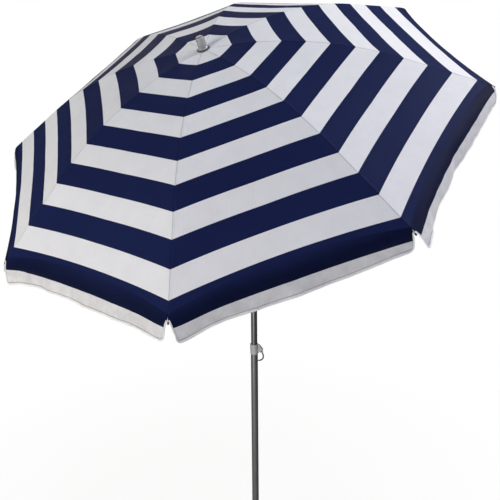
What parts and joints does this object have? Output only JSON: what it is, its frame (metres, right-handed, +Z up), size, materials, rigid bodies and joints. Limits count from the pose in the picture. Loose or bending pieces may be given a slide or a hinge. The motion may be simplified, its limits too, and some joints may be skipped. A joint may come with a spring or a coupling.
{
  "type": "beach umbrella",
  "caption": "Tilting beach umbrella: telescoping grey steel mast, folding rod-rib frame on a runner, domed navy and white ringed canopy with a hemmed valance.",
  "frame": {"origin": "on the mast axis at the sand line, 300 mm above the lower tube's end and 395 mm above the spike's tip", "axes": "+Z up the mast; the canopy leans towards -Y about the tilt pin, which lies along X"},
  "size_m": [1.861, 1.5797, 2.5717],
  "materials": {
    "canopy_cloth": "matt woven polyester, navy and white rings",
    "mast_steel": "satin grey powder coat",
    "rod_steel": "drawn steel rod",
    "fitting_steel": "pressed zinc-plated steel",
    "pin_steel": "bright plated",
    "collar_plastic": "satin moulded grey",
    "cap_plastic": "smoky grey moulded",
    "spike_plastic": "satin black moulded",
    "button_plastic": "gloss black moulded",
    "hub_plastic": "satin white moulded"
  },
  "bodies": {
    "lower_mast": {"ground_spike": "spike_plastic", "lower_mast_tube": "mast_steel", "mast_collar": "collar_plastic", "hook_pin": "pin_steel"},
    "hook": {"collar_hook": "collar_plastic"},
    "upper_mast": {"upper_mast_tube": "mast_steel", "slide_bush": "hub_plastic", "tilt_fork": "hub_plastic", "tilt_pin": "pin_steel", "button_spring": "pin_steel"},
    "button": {"tilt_button": "button_plastic"},
    "top_mast": {"top_mast_tube": "mast_steel", "tilt_tongue": "hub_plastic", "crown": "hub_plastic", "crown_ring_wire": "pin_steel", "canopy_washer": "pin_steel", "canopy_cap": "cap_plastic"},
    "runner_body": {"runner": "hub_plastic"},
    "latch": {"runner_latch": "button_plastic"},
    "rib_1_body": {"rib_1": "rod_steel", "rib_fitting_1": "fitting_steel"},
    "stretcher_1_body": {"stretcher_1": "rod_steel"},
    "rib_2_body": {"rib_2": "rod_steel", "rib_fitting_2": "fitting_steel"},
    "stretcher_2_body": {"stretcher_2": "rod_steel"},
    "rib_3_body": {"rib_3": "rod_steel", "rib_fitting_3": "fitting_steel"},
    "stretcher_3_body": {"stretcher_3": "rod_steel"},
    "rib_4_body": {"rib_4": "rod_steel", "rib_fitting_4": "fitting_steel"},
    "stretcher_4_body": {"stretcher_4": "rod_steel"},
    "rib_5_body": {"rib_5": "rod_steel", "rib_fitting_5": "fitting_steel"},
    "stretcher_5_body": {"stretcher_5": "rod_steel"},
    "rib_6_body": {"rib_6": "rod_steel", "rib_fitting_6": "fitting_steel"},
    "stretcher_6_body": {"stretcher_6": "rod_steel"},
    "rib_7_body": {"rib_7": "rod_steel", "rib_fitting_7": "fitting_steel"},
    "stretcher_7_body": {"stretcher_7": "rod_steel"},
    "rib_8_body": {"rib_8": "rod_steel", "rib_fitting_8": "fitting_steel"},
    "stretcher_8_body": {"stretcher_8": "rod_steel"},
    "flap_1_left": {"panel_1_left": "canopy_cloth"},
    "flap_1_right": {"panel_1_right": "canopy_cloth"},
    "flap_2_left": {"panel_2_left": "canopy_cloth"},
    "flap_2_right": {"panel_2_right": "canopy_cloth"},
    "flap_3_left": {"panel_3_left": "canopy_cloth"},
    "flap_3_right": {"panel_3_right": "canopy_cloth"},
    "flap_4_left": {"panel_4_left": "canopy_cloth"},
    "flap_4_right": {"panel_4_right": "canopy_cloth"},
    "flap_5_left": {"panel_5_left": "canopy_cloth"},
    "flap_5_right": {"panel_5_right": "canopy_cloth"},
    "flap_6_left": {"panel_6_left": "canopy_cloth"},
    "flap_6_right": {"panel_6_right": "canopy_cloth"},
    "flap_7_left": {"panel_7_left": "canopy_cloth"},
    "flap_7_right": {"panel_7_right": "canopy_cloth"},
    "flap_8_left": {"panel_8_left": "canopy_cloth"},
    "flap_8_right": {"panel_8_right": "canopy_cloth"}
  },
  "joints": [
    {"name": "mast_slide", "type": "slide", "parent": "lower_mast", "child": "upper_mast", "axis": [0, 0, 1], "range_m": [-0.5, 0.15]},
    {"name": "hook_pivot", "type": "hinge", "parent": "lower_mast", "child": "hook", "pos_m": [0.02859, 0.01438, 0.644], "axis": [0.4493, -0.8934, 0], "range_deg": [0, 35]},
    {"name": "canopy_tilt", "type": "hinge", "parent": "upper_mast", "child": "top_mast", "pos_m": [0, 0, 1.345], "axis": [1, 0, 0], "range_deg": [-32.11, 0]},
    {"name": "tilt_button_press", "type": "slide", "parent": "upper_mast", "child": "button", "axis": [-1, 0, 0], "range_m": [0, 0.003], "stiffness_N_per_m": 800},
    {"name": "runner_slide", "type": "slide", "parent": "top_mast", "child": "runner_body", "axis": [0, 0.5315, -0.847], "range_m": [0, 0.35828]},
    {"name": "latch_pivot", "type": "hinge", "parent": "runner_body", "child": "latch", "pos_m": [0.0167, -0.22941, 1.7339], "axis": [-0.5961, 0.6801, 0.4268], "range_deg": [0, 4.5], "stiffness_Nm_per_rad": 0.5},
    {"name": "rib_1_fold", "type": "hinge", "parent": "top_mast", "child": "rib_1_body", "pos_m": [0.02134, -0.3668, 1.93958], "axis": [-0.2434, 0.8215, 0.5156], "range_deg": [0, 68.01]},
    {"name": "stretcher_1_fold", "type": "hinge", "parent": "rib_1_body", "child": "stretcher_1_body", "pos_m": [0.28082, -0.29746, 1.95161], "axis": [-0.2434, 0.8215, 0.5156], "range_deg": [-108.83, 0]},
    {"name": "rib_2_fold", "type": "hinge", "parent": "top_mast", "child": "rib_2_body", "pos_m": [0.0113, -0.35535, 1.94677], "axis": [-0.858, 0.4351, 0.2731], "range_deg": [0, 68.01]},
    {"name": "stretcher_2_fold", "type": "hinge", "parent": "rib_2_body", "child": "stretcher_2_body", "pos_m": [0.14873, -0.14675, 2.04618], "axis": [-0.858, 0.4351, 0.2731], "range_deg": [-108.83, 0]},
    {"name": "rib_3_fold", "type": "hinge", "parent": "top_mast", "child": "rib_3_body", "pos_m": [-0.00536, -0.35326, 1.94808], "axis": [-0.9699, -0.2062, -0.1294], "range_deg": [0, 68.01]},
    {"name": "stretcher_3_fold", "type": "hinge", "parent": "rib_3_body", "child": "stretcher_3_body", "pos_m": [-0.07049, -0.11929, 2.06341], "axis": [-0.9699, -0.2062, -0.1294], "range_deg": [-108.83, 0]},
    {"name": "rib_4_fold", "type": "hinge", "parent": "top_mast", "child": "rib_4_body", "pos_m": [-0.01887, -0.36177, 1.94274], "axis": [-0.5137, -0.7267, -0.4561], "range_deg": [0, 68.01]},
    {"name": "stretcher_4_fold", "type": "hinge", "parent": "rib_4_body", "child": "stretcher_4_body", "pos_m": [-0.24841, -0.23118, 1.9932], "axis": [-0.5137, -0.7267, -0.4561], "range_deg": [-108.83, 0]},
    {"name": "rib_5_fold", "type": "hinge", "parent": "top_mast", "child": "rib_5_body", "pos_m": [-0.02134, -0.37588, 1.93389], "axis": [0.2434, -0.8215, -0.5156], "range_deg": [0, 68.01]},
    {"name": "stretcher_5_fold", "type": "hinge", "parent": "rib_5_body", "child": "stretcher_5_body", "pos_m": [-0.28082, -0.41686, 1.87668], "axis": [0.2434, -0.8215, -0.5156], "range_deg": [-108.83, 0]},
    {"name": "rib_6_fold", "type": "hinge", "parent": "top_mast", "child": "rib_6_body", "pos_m": [-0.0113, -0.38733, 1.9267], "axis": [0.858, -0.4351, -0.2731], "range_deg": [0, 68.01]},
    {"name": "stretcher_6_fold", "type": "hinge", "parent": "rib_6_body", "child": "stretcher_6_body", "pos_m": [-0.14873, -0.56758, 1.7821], "axis": [0.858, -0.4351, -0.2731], "range_deg": [-108.83, 0]},
    {"name": "rib_7_fold", "type": "hinge", "parent": "top_mast", "child": "rib_7_body", "pos_m": [0.00536, -0.38941, 1.92539], "axis": [0.9699, 0.2062, 0.1294], "range_deg": [0, 68.01]},
    {"name": "stretcher_7_fold", "type": "hinge", "parent": "rib_7_body", "child": "stretcher_7_body", "pos_m": [0.07049, -0.59503, 1.76487], "axis": [0.9699, 0.2062, 0.1294], "range_deg": [-108.83, 0]},
    {"name": "rib_8_fold", "type": "hinge", "parent": "top_mast", "child": "rib_8_body", "pos_m": [0.01887, -0.38091, 1.93073], "axis": [0.5137, 0.7267, 0.4561], "range_deg": [0, 68.01]},
    {"name": "stretcher_8_fold", "type": "hinge", "parent": "rib_8_body", "child": "stretcher_8_body", "pos_m": [0.24841, -0.48314, 1.83508], "axis": [0.5137, 0.7267, 0.4561], "range_deg": [-108.83, 0]},
    {"name": "panel_1_left_swing", "type": "hinge", "parent": "rib_1_body", "child": "flap_1_left", "pos_m": [0.02134, -0.3668, 1.93958], "axis": [-0.4735, -0.417, -0.7758], "range_deg": [0, 26.24], "deforming": ["panel_1_left"]},
    {"name": "panel_1_right_swing", "type": "hinge", "parent": "rib_2_body", "child": "flap_1_right", "pos_m": [0.0113, -0.35535, 1.94677], "axis": [0.8699, -0.0352, 0.492], "range_deg": [0, 26.24], "deforming": ["panel_1_right"]},
    {"name": "panel_2_left_swing", "type": "hinge", "parent": "rib_2_body", "child": "flap_2_left", "pos_m": [0.0113, -0.35535, 1.94677], "axis": [0.2066, -0.5107, -0.8346], "range_deg": [0, 26.24], "deforming": ["panel_2_left"]},
    {"name": "panel_2_right_swing", "type": "hinge", "parent": "rib_3_body", "child": "flap_2_right", "pos_m": [-0.00536, -0.35326, 1.94808], "axis": [0.4513, 0.4283, 0.7829], "range_deg": [0, 26.24], "deforming": ["panel_2_right"]},
    {"name": "panel_3_left_swing", "type": "hinge", "parent": "rib_3_body", "child": "flap_3_left", "pos_m": [-0.00536, -0.35326, 1.94808], "axis": [0.7656, -0.1696, -0.6205], "range_deg": [0, 26.24], "deforming": ["panel_3_left"]},
    {"name": "panel_3_right_swing", "type": "hinge", "parent": "rib_4_body", "child": "flap_3_right", "pos_m": [-0.01887, -0.36177, 1.94274], "axis": [-0.2317, 0.5053, 0.8312], "range_deg": [0, 26.24], "deforming": ["panel_3_right"]},
    {"name": "panel_4_left_swing", "type": "hinge", "parent": "rib_4_body", "child": "flap_4_left", "pos_m": [-0.01887, -0.36177, 1.94274], "axis": [0.8762, 0.4065, -0.2591], "range_deg": [0, 26.24], "deforming": ["panel_4_left"]},
    {"name": "panel_4_right_swing", "type": "hinge", "parent": "rib_5_body", "child": "flap_4_right", "pos_m": [-0.02134, -0.37588, 1.93389], "axis": [-0.7789, 0.1508, 0.6087], "range_deg": [0, 26.24], "deforming": ["panel_4_right"]},
    {"name": "panel_5_left_swing", "type": "hinge", "parent": "rib_5_body", "child": "flap_5_left", "pos_m": [-0.02134, -0.37588, 1.93389], "axis": [0.4735, 0.88, 0.0381], "range_deg": [0, 26.24], "deforming": ["panel_5_left"]},
    {"name": "panel_5_right_swing", "type": "hinge", "parent": "rib_6_body", "child": "flap_5_right", "pos_m": [-0.0113, -0.38733, 1.9267], "axis": [-0.8699, -0.4277, 0.2457], "range_deg": [0, 26.24], "deforming": ["panel_5_right"]},
    {"name": "panel_6_left_swing", "type": "hinge", "parent": "rib_6_body", "child": "flap_6_left", "pos_m": [-0.0113, -0.38733, 1.9267], "axis": [-0.2066, 0.9736, 0.0969], "range_deg": [0, 26.24], "deforming": ["panel_6_left"]},
    {"name": "panel_6_right_swing", "type": "hinge", "parent": "rib_7_body", "child": "flap_6_right", "pos_m": [0.00536, -0.38941, 1.92539], "axis": [-0.4513, -0.8912, -0.0452], "range_deg": [0, 26.24], "deforming": ["panel_6_right"]},
    {"name": "panel_7_left_swing", "type": "hinge", "parent": "rib_7_body", "child": "flap_7_left", "pos_m": [0.00536, -0.38941, 1.92539], "axis": [-0.7656, 0.6325, -0.1172], "range_deg": [0, 26.24], "deforming": ["panel_7_left"]},
    {"name": "panel_7_right_swing", "type": "hinge", "parent": "rib_8_body", "child": "flap_7_right", "pos_m": [0.01887, -0.38091, 1.93073], "axis": [0.2317, -0.9683, -0.0935], "range_deg": [0, 26.24], "deforming": ["panel_7_right"]},
    {"name": "panel_8_left_swing", "type": "hinge", "parent": "rib_8_body", "child": "flap_8_left", "pos_m": [0.01887, -0.38091, 1.93073], "axis": [-0.8762, 0.0565, -0.4787], "range_deg": [0, 26.24], "deforming": ["panel_8_left"]},
    {"name": "panel_8_right_swing", "type": "hinge", "parent": "rib_1_body", "child": "flap_8_right", "pos_m": [0.02134, -0.3668, 1.93958], "axis": [0.7789, -0.6137, 0.129], "range_deg": [0, 26.24], "deforming": ["panel_8_right"]}
  ],
  "couplings": [
    {"joint": "rib_1_fold", "follows": "runner_slide", "rad_per_m": 3.3125},
    {"joint": "stretcher_1_fold", "follows": "runner_slide", "rad_per_m": -5.3012},
    {"joint": "rib_2_fold", "follows": "runner_slide", "rad_per_m": 3.3125},
    {"joint": "stretcher_2_fold", "follows": "runner_slide", "rad_per_m": -5.3012},
    {"joint": "rib_3_fold", "follows": "runner_slide", "rad_per_m": 3.3125},
    {"joint": "stretcher_3_fold", "follows": "runner_slide", "rad_per_m": -5.3012},
    {"joint": "rib_4_fold", "follows": "runner_slide", "rad_per_m": 3.3125},
    {"joint": "stretcher_4_fold", "follows": "runner_slide", "rad_per_m": -5.3012},
    {"joint": "rib_5_fold", "follows": "runner_slide", "rad_per_m": 3.3125},
    {"joint": "stretcher_5_fold", "follows": "runner_slide", "rad_per_m": -5.3012},
    {"joint": "rib_6_fold", "follows": "runner_slide", "rad_per_m": 3.3125},
    {"joint": "stretcher_6_fold", "follows": "runner_slide", "rad_per_m": -5.3012},
    {"joint": "rib_7_fold", "follows": "runner_slide", "rad_per_m": 3.3125},
    {"joint": "stretcher_7_fold", "follows": "runner_slide", "rad_per_m": -5.3012},
    {"joint": "rib_8_fold", "follows": "runner_slide", "rad_per_m": 3.3125},
    {"joint": "stretcher_8_fold", "follows": "runner_slide", "rad_per_m": -5.3012},
    {"joint": "panel_1_left_swing", "follows": "runner_slide", "rad_per_m": 1.2777},
    {"joint": "panel_1_right_swing", "follows": "runner_slide", "rad_per_m": 1.2777},
    {"joint": "panel_2_left_swing", "follows": "runner_slide", "rad_per_m": 1.2777},
    {"joint": "panel_2_right_swing", "follows": "runner_slide", "rad_per_m": 1.2777},
    {"joint": "panel_3_left_swing", "follows": "runner_slide", "rad_per_m": 1.2777},
    {"joint": "panel_3_right_swing", "follows": "runner_slide", "rad_per_m": 1.2777},
    {"joint": "panel_4_left_swing", "follows": "runner_slide", "rad_per_m": 1.2777},
    {"joint": "panel_4_right_swing", "follows": "runner_slide", "rad_per_m": 1.2777},
    {"joint": "panel_5_left_swing", "follows": "runner_slide", "rad_per_m": 1.2777},
    {"joint": "panel_5_right_swing", "follows": "runner_slide", "rad_per_m": 1.2777},
    {"joint": "panel_6_left_swing", "follows": "runner_slide", "rad_per_m": 1.2777},
    {"joint": "panel_6_right_swing", "follows": "runner_slide", "rad_per_m": 1.2777},
    {"joint": "panel_7_left_swing", "follows": "runner_slide", "rad_per_m": 1.2777},
    {"joint": "panel_7_right_swing", "follows": "runner_slide", "rad_per_m": 1.2777},
    {"joint": "panel_8_left_swing", "follows": "runner_slide", "rad_per_m": 1.2777},
    {"joint": "panel_8_right_swing", "follows": "runner_slide", "rad_per_m": 1.2777}
  ]
}
